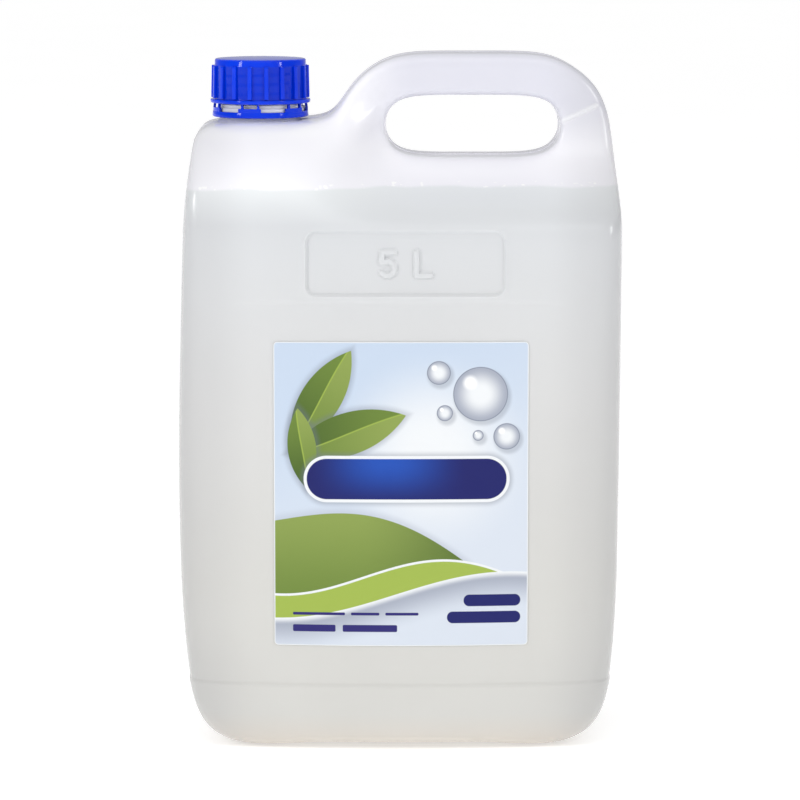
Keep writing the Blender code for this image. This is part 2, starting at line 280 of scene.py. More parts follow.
can = {
    # front outline: corners as (x, z, radius)
    "outline": (
        (-86.5, 0.0, 19.0), (-93.0, 38.0, 120.0), (-94.5, 115.0, 600.0), (-91.2, 228.0, 300.0),
        (-86.4, 265.0, 3.0), (-30.0, 265.0, 6.0), (-12.2, 294.0, 32.0), (87.0, 294.0, 33.5),
        (93.8, 230.0, 250.0), (93.0, 36.0, 150.0), (87.0, 0.0, 19.0),
    ),
    "hole": (-7.3, 69.8, 250.0, 276.2),  # handle hole: left, right, bottom, top
    "holeRadius": 11.5,
    "columns": (-94, -70, -57, -42, -27, -7, 6, 22, 39, 56, 69, 94),
    "rows": (0, 30, 80, 130, 180, 219, 228, 240, 250, 263, 276, 294),
    "shoulderRows": (263, 250),  # stations just above and beside the neck's shoulder
    "shoulderPinch": (8.0, 5.0),  # they move this far to its corner
    "notch": (-27, 263),  # nothing is above the shoulder left of here
    "legSpan": (-38, -4),  # between these the neck's section turns into the handle's
    # half the depth against height, through the handle and through the neck
    "handleSection": (
        (0, 55), (13, 61), (30, 64), (180, 63.5), (219, 63),
        (228, 61.5), (240, 33), (250, 19), (264, 17),
    ),
    "neckSection": (
        (0, 55), (13, 61), (30, 64), (180, 63.5), (219, 63), (240, 59), (252, 49), (264, 30),
    ),
    "shoulderSpan": (205, 250),  # between these the rounding turns from the body's into the top's
    "insetThickness": 4.0,
    "holeReach": 5.0,  # the flat front stops this far from the handle's hole
    "holeDrop": 5.5,  # and the round takes up this much of the depth
    "crown": ((0, 3.0), (60, 4.0), (180, 1.3), (228, 0.4), (240, 0.0)),
    "crownHalfWidth": 55.0,
    "panel": (-38.8, 43.8, 195.6, 221.8),  # recess for the capacity mark
    "panelDepth": 1.0,
    "panelRadius": 4.0,
    "markHeight": 12.0,
    "markStroke": 1.15,  # half the width of a raised stroke
    "markRaise": 1.05,
    "baseStep": 29.5,  # height of the step round the foot
    "baseStepDepth": 0.5,
    "baseStepFade": (45.0, 5.0),  # the step in dies out between these heights above it
    "faceHalfWidth": 84.0,  # shallow recess that the label sits in
    "faceTop": 192.0,
    "faceFade": (0.88, 0.66),  # shares of that width between which the recess begins
    "faceDepth": 0.7,
    "lip": 0.25,  # low ridge round the mark's recess
    "baseArch": 1.3,
    "footBox": (-66, 66, -37, 37),  # the underside inside the foot's rim
    "footBoxRadius": 14,
    "pushUp": 2.2,  # how far the middle of the underside is drawn in
    "partingHeight": 0.22,
    "weldFrom": (69.0, 265.0),  # pinch weld on the handle's right leg
    "weldTo": (84.5, 272.2),
    "weldHeight": 0.5,
    "neckRadius": 17.3,
    "boreRadius": 15.5,
    "neckFoot": 258.0,
    "threadPitch": 4.0,
    "threadHeight": 0.85,
    "threadFoot": 273.4,
    "ridgeRise": (0.12, 0.3),  # shares of the pitch between which the thread's ridge grows
    "ridgeFall": (0.62, 0.44),  # and dies out again
    # retaining bead and ratchet ring: (radius past the neck's, z, rounding) from the thread down
    "neckRings": (
        (0, 272.6, 0), (0, 272.1, 0.2), (0.85, 271.9, 0.15), (0.85, 271.3, 0.15), (0.2, 271.1, 0.15),
        (0.2, 270.75, 0.1), (1.2, 270.4, 0.25), (1.5, 269.6, 0.25), (1.5, 268.9, 0.15), (0, 268.8, 0.3),
        (0, 267.0, 0), (0.4, 265.6, 0.5), (2.2, 264.0, 0),
    ),
}


def halfDepth(x, z):
    share = smoothStep(*can["legSpan"], x)
    depth = lookUp(can["handleSection"], z) * share + lookUp(can["neckSection"], z) * (1 - share)
    return depth - lookUp(can["crown"], z) * (x / can["crownHalfWidth"]) ** 2


def edgeRounding(x, z, sideways):
    # how far the flat front stops short of the outline: more at the sides than under the base
    full = 13 + 8 * sideways
    small = 8 + 3 * (1 - smoothStep(*can["legSpan"], x))
    return full + (small - full) * smoothStep(*can["shoulderSpan"], z)


def nearHole(co):
    left, right, bottom, top = can["hole"]
    return left - 1 < co.x < right + 1 and bottom - 1 < co.z < top + 1


def frontSheet():
    # flat grid fitted to the outline, without the handle's hole and the notch over the neck
    columns, rows = can["columns"], can["rows"]
    bm = bmesh.new()
    bmesh.ops.create_grid(bm, x_segments=len(columns) - 1, y_segments=len(rows) - 1, size=0.5)
    for v in bm.verts:
        column = round((v.co.x + 0.5) * (len(columns) - 1))
        row = round((v.co.y + 0.5) * (len(rows) - 1))
        v.co = (columns[column], 0, rows[row])
        if (column, rows[row]) == (1, can["shoulderRows"][0]):
            v.co.x -= can["shoulderPinch"][0]
        elif (column, rows[row]) == (0, can["shoulderRows"][1]):
            v.co.z += can["shoulderPinch"][1]
    left, right, bottom, top = can["hole"]
    unwanted = []
    for face in bm.faces:
        x, _, z = face.calc_center_median()
        if (left < x < right and bottom < z < top) or (x < can["notch"][0] and z > can["notch"][1]):
            unwanted.append(face)
    bmesh.ops.delete(bm, geom=unwanted, context="FACES")
    corners = []
    for x, z in ((left, bottom), (left, top), (right, top), (right, bottom)):
        corners.append((x, z, can["holeRadius"]))
    outline = roundedCorners(can["outline"], math.radians(4))
    hole = roundedCorners(corners, math.radians(4))
    for v in bm.verts:
        if v.is_boundary:
            found = nearestOn(hole if nearHole(v.co) else outline, Vector((v.co.x, v.co.z)))
            v.co = (found.x, 0, found.y)
    return bm


def canCage():
    # closed control cage of the outside, for a Subdivision Surface
    bm = frontSheet()
    rim = bmesh.ops.inset_region(
        bm, faces=bm.faces[:], thickness=can["insetThickness"], use_boundary=True, use_even_offset=True
    )["faces"]
    for edge in {e for f in rim for e in f.edges}:
        outer = [v for v in edge.verts if v.is_boundary]
        if len(outer) == 1 and not edge.is_boundary:
            start = outer[0]
            ring = edge.other_vert(start)
            inward = (ring.co - start.co).normalized()
            reach = can["holeReach"]
            if not nearHole(start.co):
                reach = edgeRounding(start.co.x, start.co.z, abs(inward.x))
            ring.co = start.co + inward * reach
    for v in bm.verts:
        v.co.y = -halfDepth(v.co.x, v.co.z)
    edges = [e for e in bm.edges if e.is_boundary]
    for last in (False, True):
        made = bmesh.ops.extrude_edge_only(bm, edges=edges)
        edges = [g for g in made["geom"] if isinstance(g, bmesh.types.BMEdge)]
        for v in vertsIn(made):
            reach = can["holeDrop"] if nearHole(v.co) else edgeRounding(v.co.x, v.co.z, 0.9)
            v.co.y = 0.0 if last else v.co.y + reach
    bmesh.ops.mirror(bm, geom=bm.verts[:] + bm.edges[:] + bm.faces[:], axis="Y", merge_dist=0.001)
    bmesh.ops.recalc_face_normals(bm, faces=bm.faces)
    return bm


def canForm():
    made = newObject("canForm", canCage())
    smooth = made.modifiers.new("smooth", "SUBSURF")
    smooth.levels = smooth.render_levels = 3
    return made


def markStrokes():
    # straight strokes of the raised capacity mark, as pairs of (x, z) ends
    left, right, bottom, top = can["panel"]
    low = (bottom + top) / 2 - can["markHeight"] / 2 + can["markStroke"]
    high = low + can["markHeight"] - 2 * can["markStroke"]
    middle = (left + right) / 2
    waist = low + 0.56 * (high - low)
    bowl = []
    for k in range(9):
        angle = math.radians(115 - k * 255 / 8)
        bowl.append((middle - 7.6 + 3.1 * math.cos(angle), low + 3.0 + 3.1 * math.sin(angle)))
    five = [(middle - 4.6, high), (middle - 9.6, high), (middle - 10.1, waist)] + bowl
    five[3:4] = [(middle - 8.6, waist + 0.2)]
    ell = [(middle + 4.6, high), (middle + 4.6, low), (middle + 10.6, low)]
    return list(zip(five, five[1:])) + list(zip(ell, ell[1:]))


def strokeGap(x, z, strokes):
    # distance from the nearest stroke's middle line
    at = Vector((x, z))
    best = 99.0
    for a, b in strokes:
        a, b = Vector(a), Vector(b)
        t = min(1.0, max(0.0, (at - a).dot(b - a) / (b - a).length_squared))
        best = min(best, (a + (b - a) * t - at).length)
    return best


def steps(first, last, spacing):
    count = round((last - first) / spacing)
    return [first + (last - first) * k / count for k in range(count + 1)]


def addPanel(bm):
    # recess with rounded corners on the front, and the capacity mark raised on its floor
    left, right, bottom, top = can["panel"]

    def inPanel(co):
        return co.y < -50 and left - 2 < co.x < right + 2 and bottom - 2 < co.z < top + 2

    cutAcross(bm, (1, 0, 0), steps(left - 1.2, right + 1.2, 0.6), inPanel)
    cutAcross(bm, (0, 0, 1), steps(bottom - 1.2, top + 1.2, 0.6), inPanel)
    strokes = markStrokes()
    for v in bm.verts:
        if inPanel(v.co):
            gap = roundBoxGap(v.co.x, v.co.z, can["panel"], can["panelRadius"])
            depth = can["panelDepth"] * smoothStep(0.5, -0.6, gap)
            depth -= can["lip"] * smoothStep(0.0, 0.8, gap) * smoothStep(1.9, 0.9, gap)
            if gap < -4:
                near = strokeGap(v.co.x, v.co.z, strokes)
                depth -= can["markRaise"] * smoothStep(0.4, -0.4, near - can["markStroke"])
            v.co.y += depth


def addSteps(bm):
    # the wall steps in above the foot, and stays in on the front and back up to the label's top
    foot, top = can["baseStep"], can["faceTop"]
    cutAcross(bm, (0, 0, 1), steps(foot - 1.2, foot + 1.2, 0.6))
    cutAcross(bm, (0, 0, 1), steps(top - 1.8, top + 1.8, 0.9))
    bm.normal_update()
    moves = []
    for v in bm.verts:
        x, _, z = v.co
        flat = Vector((v.normal.x, v.normal.y, 0))
        if foot - 1 < z < top + 3 and flat.length > 0.3:
            overStep = smoothStep(foot - 0.9, foot + 0.9, z)
            wall = can["baseStepDepth"] * overStep * smoothStep(*can["baseStepFade"], z - foot)
            side = smoothStep(*can["faceFade"], abs(x) / can["faceHalfWidth"]) * overStep
            face = can["faceDepth"] * side * smoothStep(top + 1.3, top - 1.3, z)
            moves.append((v, -flat.normalized() * max(wall, face)))
    for v, move in moves:
        v.co += move


def addPartingLine(bm):
    # low ridge where the two halves of the mould met
    cutAcross(bm, (0, 1, 0), (-0.7, -0.3, 0.3, 0.7), lambda co: abs(co.y) < 9 and co.z > 1)
    bm.normal_update()
    for v in bm.verts:
        if abs(v.co.y) < 0.05 and v.co.z > 1:
            v.co += v.normal * can["partingHeight"]


def addWeld(bm):
    # pinch weld that crosses the handle's right leg, front and back
    start, end = Vector(can["weldFrom"]), Vector(can["weldTo"])
    along = (end - start).normalized()
    across = Vector((-along.y, along.x))
    middle = start.dot(across)
    span = (end - start).length

    def onLeg(co):
        return abs(co.y) > 6 and start.x - 3 < co.x < end.x + 3 and start.y - 6 < co.z < end.y + 6

    places = [middle + offset for offset in (-1.3, -0.9, -0.5, 0.0, 0.5, 0.9, 1.3)]
    cutAcross(bm, (across.x, 0, across.y), places, onLeg)
    bm.normal_update()
    for v in bm.verts:
        if onLeg(v.co):
            at = Vector((v.co.x, v.co.z))
            off = abs(at.dot(across) - middle)
            reach = (at - start).dot(along)
            ends = smoothStep(-1.5, 1.0, reach) * smoothStep(span + 1.5, span - 1, reach)
            v.co += v.normal * can["weldHeight"] * ends * smoothStep(1.1, 0.4, off)


def archBase(bm):
    # the underside rises a little in its middle, so the can stands on its rim
    lowest = min(v.co.z for v in bm.verts)
    for v in bm.verts:
        height = v.co.z - lowest
        if height < 8:
            inside = roundBoxGap(v.co.x, v.co.y, can["footBox"], can["footBoxRadius"])
            arch = can["baseArch"] * smoothStep(60, 30, abs(v.co.x)) * smoothStep(8, 0, height)
            v.co.z += arch + can["pushUp"] * smoothStep(0, -9, inside) * smoothStep(2, 0, height)


def neckForm():
    # neck with its retaining bead, ratchet ring and screw thread
    radius = can["neckRadius"]
    profile = [(0.0, neckRim), (radius - 1.4, neckRim)]
    profile += roundProfile([
        (radius - 1.4, neckRim, 0), (radius, neckRim, 0.6), (radius, neckRim - 1.2, 0),
    ])
    profile += [(radius, z) for z in steps(neckRim - 1.5, 273.2, 0.35)]
    profile += roundProfile([
        (radius + past, z, rounding) for past, z, rounding in can["neckRings"]
    ] + [(radius + 2.2, can["neckFoot"], 0)])
    profile.append((0.0, can["neckFoot"]))
    bm = spinRound(profile, 144)
    low, high = can["threadFoot"], neckRim - 2.2
    for v in bm.verts:
        outer = math.hypot(v.co.x, v.co.y)
        if outer > radius - 0.2 and low < v.co.z < high:
            turn = math.atan2(v.co.y, v.co.x) / math.tau
            phase = (v.co.z / can["threadPitch"] - turn) % 1.0
            ridge = smoothStep(*can["ridgeRise"], phase) * smoothStep(*can["ridgeFall"], phase)
            ends = smoothStep(low, low + 1.5, v.co.z) * smoothStep(high, high - 1.5, v.co.z)
            grown = (outer + can["threadHeight"] * ridge * ends) / outer
            v.co.x *= grown
            v.co.y *= grown
    bmesh.ops.translate(bm, vec=(neckX, 0, 0), verts=bm.verts)
    return newObject("neckForm", bm)


def boreForm():
    bore = can["boreRadius"]
    bm = spinRound([
        (0.0, neckRim + 5), (bore + 5, neckRim + 5), (bore, neckRim - 0.4),
        (bore, can["neckFoot"] - 4), (0.0, can["neckFoot"] - 4),
    ], 72)
    bmesh.ops.translate(bm, vec=(neckX, 0, 0), verts=bm.verts)
    return newObject("boreForm", bm)


def booleanWith(item, operation, other):
    made = item.modifiers.new(operation.lower(), "BOOLEAN")
    made.operation = operation
    made.object = other
    made.solver = "EXACT"


def makeCan(finish):
    bm = finishedMesh(canForm())
    archBase(bm)
    addSteps(bm)
    addPartingLine(bm)
    addWeld(bm)
    addPanel(bm)
    shell = newObject("canShell", bm)
    others = [neckForm(), boreForm()]
    for operation, other in zip(("UNION", "DIFFERENCE"), others):
        booleanWith(shell, operation, other)
    bm = finishedMesh(shell)
    for other in others:
        bpy.data.objects.remove(other)
    made = newObject("can", bm, finish, 35)
    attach(made, "can")
    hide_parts("bottle_body")
    print("can made,", len(made.data.polygons), "faces")
    return made


canFinish = {
    "roughness": 0.22,
    "subsurface": 0.25,
    "subsurfaceScale": 0.003,
    "empty": (0.69, 0.69, 0.76, 1),  # wall with air behind it
    "paintedLightAboveSoap": (0.875, 0.87, 0.915, 1),  # painted light: paler wall just above the soap, and round the neck
    "paintedLightPlatform": (0.92, 0.92, 0.94, 1),  # painted light: paler shoulder under the cap, where the cap shades it
    "soapTop": (0.76, 0.785, 0.80, 1),  # wall with soap behind it, from its surface down
    "soapHigh": (0.635, 0.65, 0.67, 1),
    "soapMiddle": (0.62, 0.62, 0.617, 1),
    "soapLow": (0.61, 0.605, 0.58, 1),
    "foot": (0.64, 0.59, 0.53, 1),
    "shade": (0.36, 0.36, 0.37, 1),  # painted shade that the side walls lean to
    "cloudDark": 0.25,
    "waveHeight": 3.4,  # of the soap's surface
    "paintedEdgeShade": 0.18,  # shares of that painted shade: at the very edge, on the sides, and low on the sides
    "paintedSideShade": 0.24,
    "paintedLowShade": 0.12,
    "peelSize": 420.0,
}


def canMaterial():
    made, tree, shader = newMaterial(
        "milkyPlastic", Roughness=canFinish["roughness"], IOR=1.5,
        Subsurface_Weight=canFinish["subsurface"], Subsurface_Scale=canFinish["subsurfaceScale"],
        Subsurface_Radius=(1.0, 1.0, 1.0),
    )
    x, _, z = placeInMm(tree)
    # the soap's surface shows as a soft, slightly wavy line
    waves = maths(tree, "SUBTRACT", noiseOf(tree, 38, 1.0, (1, 0.6, 0)), 0.5)
    level = maths(tree, "ADD", z, maths(tree, "MULTIPLY", waves, canFinish["waveHeight"]))
    filled = ramp(tree, level, soapTop + 0.9, soapTop - 0.6)
    soap = colourBands(tree, maths(tree, "DIVIDE", z, soapTop), (
        (0.0, canFinish["foot"]), (0.07, canFinish["soapLow"]), (0.30, canFinish["soapLow"]),
        (0.62, canFinish["soapMiddle"]), (0.94, canFinish["soapHigh"]), (1.0, canFinish["soapTop"]),
    ))
    # painted light: the wall is paler just above the soap and all along the neck's side
    paintedLightShare = ramp(tree, z, soapTop + 36, soapTop + 14)
    paintedLightShare = maths(tree, "MAXIMUM", paintedLightShare, ramp(tree, x, 6, -24))
    empty = mixed(tree, paintedLightShare, canFinish["empty"], canFinish["paintedLightAboveSoap"])
    # painted light: the shoulder under the cap is made paler, against the cap's shade
    paintedLightPlatform = maths(tree, "MULTIPLY", ramp(tree, z, 257, 264), ramp(tree, x, -28, -42))
    empty = mixed(tree, paintedLightPlatform, empty, canFinish["paintedLightPlatform"])
    colour = mixed(tree, filled, empty, soap)
    # a thread of froth at the surface
    froth = ramp(tree, noiseOf(tree, 420, 1.0, (1, 1, 0.6)), 0.60, 0.72)
    line = ramp(tree, maths(tree, "ABSOLUTE", maths(tree, "SUBTRACT", level, soapTop + 1.0)), 1.3, 0.3)
    colour = mixed(tree, maths(tree, "MULTIPLY", froth, line), colour, grey(0.98))
    # cloudy walls, a little thicker in some places than others
    cloud = colourBands(tree, noiseOf(tree, 14, 2.0), (
        (0.3, grey(canFinish["cloudDark"])), (0.7, grey(1.0)),
    ))
    colour = mixed(tree, 0.05, colour, cloud, "SOFT_LIGHT")
    # the pinch weld is a paler streak
    middle = [(a + b) / 2 for a, b in zip(can["weldFrom"], can["weldTo"])]
    run = [b - a for a, b in zip(can["weldFrom"], can["weldTo"])]
    along, across = turnedPlace(tree, x, z, middle, math.degrees(math.atan2(run[1], run[0])))
    streak = boxGap(tree, along, across, math.hypot(*run) / 2, 1.2, 0.9)
    colour = mixed(tree, ramp(tree, streak, 0.7, -0.7, 0.0, 0.4), colour, grey(0.95))
    # painted shade: the side walls darken towards their edges, and low down on the sides
    fromMiddle = maths(tree, "ABSOLUTE", x)
    side = ramp(tree, fromMiddle, 80, 95, 0.0, canFinish["paintedEdgeShade"])
    wide = ramp(tree, fromMiddle, 60, 84, 0.0, canFinish["paintedSideShade"])
    side = maths(tree, "ADD", side, wide)
    low = ramp(tree, fromMiddle, 40, 80, 0.0, canFinish["paintedLowShade"])
    low = maths(tree, "MULTIPLY", ramp(tree, z, 60, 20), low)
    colour = mixed(tree, maths(tree, "ADD", side, low), colour, canFinish["shade"])
    tree.links.new(colour, shader.inputs["Base Color"])
    gloss = canFinish["roughness"]
    worn = ramp(tree, noiseOf(tree, 60, 3.0), 0.35, 0.7, gloss - 0.02, gloss + 0.02)
    tree.links.new(worn, shader.inputs["Roughness"])
    addBump(tree, shader, noiseOf(tree, canFinish["peelSize"], 2.0), 0.0002, 0.12)
    return made


label = {
    "corner": 1.6,
    "thickness": 0.18,
    "lift": 0.2,
    "bevelSegments": 4,
    "edge": 0.14,  # softness of a printed edge
    "ground": (0.52, 0.61, 0.74, 1),
    "groundLight": (0.63, 0.68, 0.76, 1),
    "greenDark": (0.06, 0.115, 0.015, 1),
    "green": (0.14, 0.22, 0.035, 1),
    "greenLight": (0.25, 0.33, 0.075, 1),
    "lime": (0.33, 0.44, 0.07, 1),
    "silver": (0.34, 0.37, 0.45, 1),
    "silverDark": (0.14, 0.16, 0.21, 1),
    "navy": (0.004, 0.007, 0.12, 1),
    "blue": (0.008, 0.07, 0.42, 1),
    "ink": (0.02, 0.015, 0.15, 1),
    "white": (0.78, 0.80, 0.82, 1),
    # edges of the hills: height, swing, stretch, shift and slope of a sine
    "hill": (84, 15, 30, 1.7, -0.32),
    "palerHill": (74, 12, 26, 0.6, -0.12),
    "footHill": (68.5, 9, 30, 0.1, 0.02),
    # leaves: centre, degrees, half the length, half the width
    "leaves": (((-33, 152), 58, 24, 8.5), ((-22, 137), 18, 26, 9.0), ((-41, 131), 96, 17, 6.0)),
    "bubbles": (
        ((34, 154), 11.5), ((16.5, 163), 5.0), ((45, 136), 5.6), ((19, 146), 3.4), ((33, 136.5), 2.3),
    ),
    "plate": ((3, 118), 42, 8.6, 8.4),  # centre, half the length, half the width, radius
    # plain bars: centre and half the length
    "thinBars": (((-34, 60.5), 11), ((-14.5, 60.5), 6), ((1, 60.5), 7)),
    "boldBars": (((-36, 54.3), 9), ((-12.5, 54.3), 11.5)),
    "roundBars": (((39, 66.2), 12), ((35.5, 59.0), 15.5)),
    "border": 0.35,
    "borderRadius": 1.3,
}


def turnedPlace(tree, x, z, centre, degrees):
    # place measured from a centre, along and across a direction
    c, s = math.cos(math.radians(degrees)), math.sin(math.radians(degrees))
    fromX = maths(tree, "SUBTRACT", x, centre[0])
    fromZ = maths(tree, "SUBTRACT", z, centre[1])
    along = maths(tree, "ADD", maths(tree, "MULTIPLY", fromX, c), maths(tree, "MULTIPLY", fromZ, s))
    across = maths(tree, "SUBTRACT", maths(tree, "MULTIPLY", fromZ, c), maths(tree, "MULTIPLY", fromX, s))
    return along, across


def length(tree, a, b):
    squares = maths(tree, "ADD", maths(tree, "MULTIPLY", a, a), maths(tree, "MULTIPLY", b, b))
    return maths(tree, "SQRT", squares)


def discGap(tree, x, z, centre, radius):
    away = length(tree, maths(tree, "SUBTRACT", x, centre[0]), maths(tree, "SUBTRACT", z, centre[1]))
    return maths(tree, "SUBTRACT", away, radius)


def boxGap(tree, along, across, halfLength, halfWidth, radius):
    u = maths(tree, "SUBTRACT", maths(tree, "ABSOLUTE", along), halfLength - radius)
    v = maths(tree, "SUBTRACT", maths(tree, "ABSOLUTE", across), halfWidth - radius)
    outside = length(tree, maths(tree, "MAXIMUM", u, 0.0), maths(tree, "MAXIMUM", v, 0.0))
    inside = maths(tree, "MINIMUM", maths(tree, "MAXIMUM", u, v), 0.0)
    return maths(tree, "SUBTRACT", maths(tree, "ADD", outside, inside), radius)


def leafGap(tree, along, across, halfLength, halfWidth):
    # a leaf is where two equal discs overlap
    radius = (halfLength ** 2 + halfWidth ** 2) / (2 * halfWidth)
    offset = radius - halfWidth
    upper = length(tree, along, maths(tree, "ADD", across, offset))
    lower = length(tree, along, maths(tree, "SUBTRACT", across, offset))
    return maths(tree, "SUBTRACT", maths(tree, "MAXIMUM", upper, lower), radius)


def inked(tree, gap, soft=None):
    soft = soft or label["edge"]
    return ramp(tree, gap, soft, -soft)


def paintLeaf(tree, x, z, colour, centre, degrees, halfLength, halfWidth, tones):
    along, across = turnedPlace(tree, x, z, centre, degrees)
    gap = leafGap(tree, along, across, halfLength, halfWidth)
    shade = ramp(tree, along, -halfLength, halfLength)
    body = mixed(tree, shade, tones[0], tones[1])
    half = mixed(tree, shade, tones[1], tones[2])
    bend = maths(tree, "SINE", maths(tree, "DIVIDE", along, halfLength * 0.5))
    bend = maths(tree, "MULTIPLY", bend, halfWidth * 0.12)
    fromRib = maths(tree, "SUBTRACT", across, bend)
    body = mixed(tree, inked(tree, fromRib, 0.3), body, half)
    rib = maths(tree, "SUBTRACT", maths(tree, "ABSOLUTE", fromRib), 0.28)
    body = mixed(tree, maths(tree, "MULTIPLY", inked(tree, rib), 0.8), body, label["lime"])
    shadow = maths(tree, "MULTIPLY", ramp(tree, gap, 3.0, 0.0), 0.35)
    colour = mixed(tree, shadow, colour, label["silverDark"])
    return mixed(tree, inked(tree, gap), colour, body)


def paintBubble(tree, x, z, colour, centre, radius):
    gap = discGap(tree, x, z, centre, radius)
    depth = ramp(tree, gap, 0.0, -radius * 0.75)
    body = mixed(tree, depth, label["silver"], label["white"])
    glint = discGap(tree, x, z, (centre[0] - radius * 0.38, centre[1] + radius * 0.42), radius * 0.2)
    body = mixed(tree, ramp(tree, glint, radius * 0.14, -radius * 0.1), body, grey(0.95))
    rim = maths(tree, "SUBTRACT", maths(tree, "ABSOLUTE", maths(tree, "ADD", gap, 0.2)), 0.18)
    body = mixed(tree, maths(tree, "MULTIPLY", inked(tree, rim), 0.6), body, label["silverDark"])
    cast = discGap(tree, x, z, (centre[0] + 0.8, centre[1] - 1.2), radius)
    shadow = maths(tree, "MULTIPLY", ramp(tree, cast, 1.6, -0.5), 0.35)
    colour = mixed(tree, shadow, colour, label["silverDark"])
    return mixed(tree, inked(tree, gap), colour, body)


def paintBar(tree, x, z, colour, centre, halfLength, halfWidth, tone, radius):
    along, across = turnedPlace(tree, x, z, centre, 0)
    gap = boxGap(tree, along, across, halfLength, halfWidth, radius)
    return mixed(tree, inked(tree, gap), colour, tone)


def waveGap(tree, x, z, height, swing, stretch, shift, slope):
    wave = maths(tree, "SINE", maths(tree, "ADD", maths(tree, "DIVIDE", x, stretch), shift))
    line = maths(tree, "ADD", maths(tree, "MULTIPLY", x, slope), height)
    edge = maths(tree, "ADD", maths(tree, "MULTIPLY", wave, swing), line)
    return maths(tree, "SUBTRACT", z, edge)


def labelMaterial():
    made, tree, shader = newMaterial("printedFilm", Roughness=0.32, Specular_IOR_Level=0.3)
    x, _, z = placeInMm(tree)
    slant = maths(tree, "ADD", z, maths(tree, "MULTIPLY", x, -0.4))
    fade = ramp(tree, slant, labelHigh.z + 5, labelLow.z + 20)
    colour = mixed(tree, fade, label["ground"], label["groundLight"])
    glow = ramp(tree, discGap(tree, x, z, (14, 128), 0.0), 46, 8)
    colour = mixed(tree, glow, colour, label["white"])
    # green field that swells up the left side, with paler waves over it
    field = waveGap(tree, x, z, *label["hill"])
    fieldTone = mixed(tree, ramp(tree, z, 60, 112), label["green"], label["greenLight"])
    fieldTone = mixed(tree, ramp(tree, x, -20, 50), fieldTone, label["greenDark"])
    colour = mixed(tree, maths(tree, "MULTIPLY", ramp(tree, field, 4, 0), 0.35), colour, label["silver"])
    colour = mixed(tree, inked(tree, field), colour, fieldTone)
    paler = waveGap(tree, x, z, *label["palerHill"])
    colour = mixed(tree, inked(tree, paler), colour, label["lime"])
    thread = maths(tree, "SUBTRACT", maths(tree, "ABSOLUTE", paler), 0.5)
    colour = mixed(tree, inked(tree, thread), colour, label["white"])
    foot = waveGap(tree, x, z, *label["footHill"])
    footTone = mixed(tree, ramp(tree, foot, -16, 0), label["groundLight"], label["silver"])
    footTone = mixed(tree, ramp(tree, foot, -3.0, 0), footTone, label["white"])
    colour = mixed(tree, inked(tree, foot), colour, footTone)
    # leaves at the upper left, bubbles at the upper right
    tones = (label["greenDark"], label["green"], label["greenLight"])
    for centre, degrees, halfLength, halfWidth in label["leaves"]:
        colour = paintLeaf(tree, x, z, colour, centre, degrees, halfLength, halfWidth, tones)
    for centre, radius in label["bubbles"]:
        colour = paintBubble(tree, x, z, colour, centre, radius)
    # bare name plate
    centre, halfLength, halfWidth, radius = label["plate"]
    along, across = turnedPlace(tree, x, z, centre, 0)
    plate = boxGap(tree, along, across, halfLength, halfWidth, radius)
    shadow = maths(tree, "MULTIPLY", ramp(tree, plate, 4.0, 0.5), 0.5)
    colour = mixed(tree, shadow, colour, label["silverDark"])
    colour = mixed(tree, inked(tree, maths(tree, "SUBTRACT", plate, 1.3)), colour, label["white"])
    sheen = ramp(tree, maths(tree, "ABSOLUTE", maths(tree, "ADD", along, 8.0)), 34, 2)
    sheen = maths(tree, "MULTIPLY", sheen, ramp(tree, across, -12, 7))
    colour = mixed(tree, inked(tree, plate), colour, mixed(tree, sheen, label["navy"], label["blue"]))
    # plain bars where lettering would be
    for centre, half in label["thinBars"]:
        colour = paintBar(tree, x, z, colour, centre, half, 0.6, label["ink"], 0.5)
    for centre, half in label["boldBars"]:
        colour = paintBar(tree, x, z, colour, centre, half, 1.5, label["ink"], 0.6)
    for centre, half in label["roundBars"]:
        colour = paintBar(tree, x, z, colour, centre, half, 2.5, label["navy"], 2.4)
    # bare film along the cut edge
    middle, half = (labelLow + labelHigh) / 2, (labelHigh - labelLow) / 2
    along, across = turnedPlace(tree, x, z, (middle.x, middle.z), 0)
    inside = label["border"]
    border = boxGap(tree, along, across, half.x - inside, half.z - inside, label["borderRadius"])
    colour = mixed(tree, inked(tree, maths(tree, "MULTIPLY", border, -1.0)), colour, label["white"])
    tree.links.new(colour, shader.inputs["Base Color"])
    worn = ramp(tree, noiseOf(tree, 90, 2.0), 0.3, 0.7, 0.30, 0.35)
    tree.links.new(worn, shader.inputs["Roughness"])
    addBump(tree, shader, noiseOf(tree, 130, 2.0), 0.0003, 0.05)
    return made


def makeLabel(finish, onto):
    # thin film laid on the can's front, rubbed down on it
    graph = bpy.context.evaluated_depsgraph_get()
    front = BVHTree.FromObject(onto, graph)
    bm = bmesh.new()
    bmesh.ops.create_grid(bm, x_segments=54, y_segments=64, size=0.5)
    for v in bm.verts:
        x = labelLow.x + (labelHigh.x - labelLow.x) * (v.co.x + 0.5)
        z = labelLow.z + (labelHigh.z - labelLow.z) * (v.co.y + 0.5)
        hit = front.ray_cast(Vector((x, -200, z)) * mm, Vector((0, 1, 0)))[0]
        v.co = (x, hit.y / mm - label["lift"], z)
    corners = [v for v in bm.verts if len(v.link_faces) == 1]
    bmesh.ops.bevel(
        bm, geom=corners, offset=label["corner"], offset_type="OFFSET",
        segments=label["bevelSegments"], profile=0.5, affect="VERTICES", material=-1,
    )
    sheet = bmesh.ops.extrude_face_region(bm, geom=bm.faces[:])
    bmesh.ops.translate(bm, vec=(0, -label["thickness"], 0), verts=vertsIn(sheet))
    bmesh.ops.recalc_face_normals(bm, faces=bm.faces)
    made = newObject("label", bm, finish)
    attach(made, "can")
    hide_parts("front_label")
    print("label made")


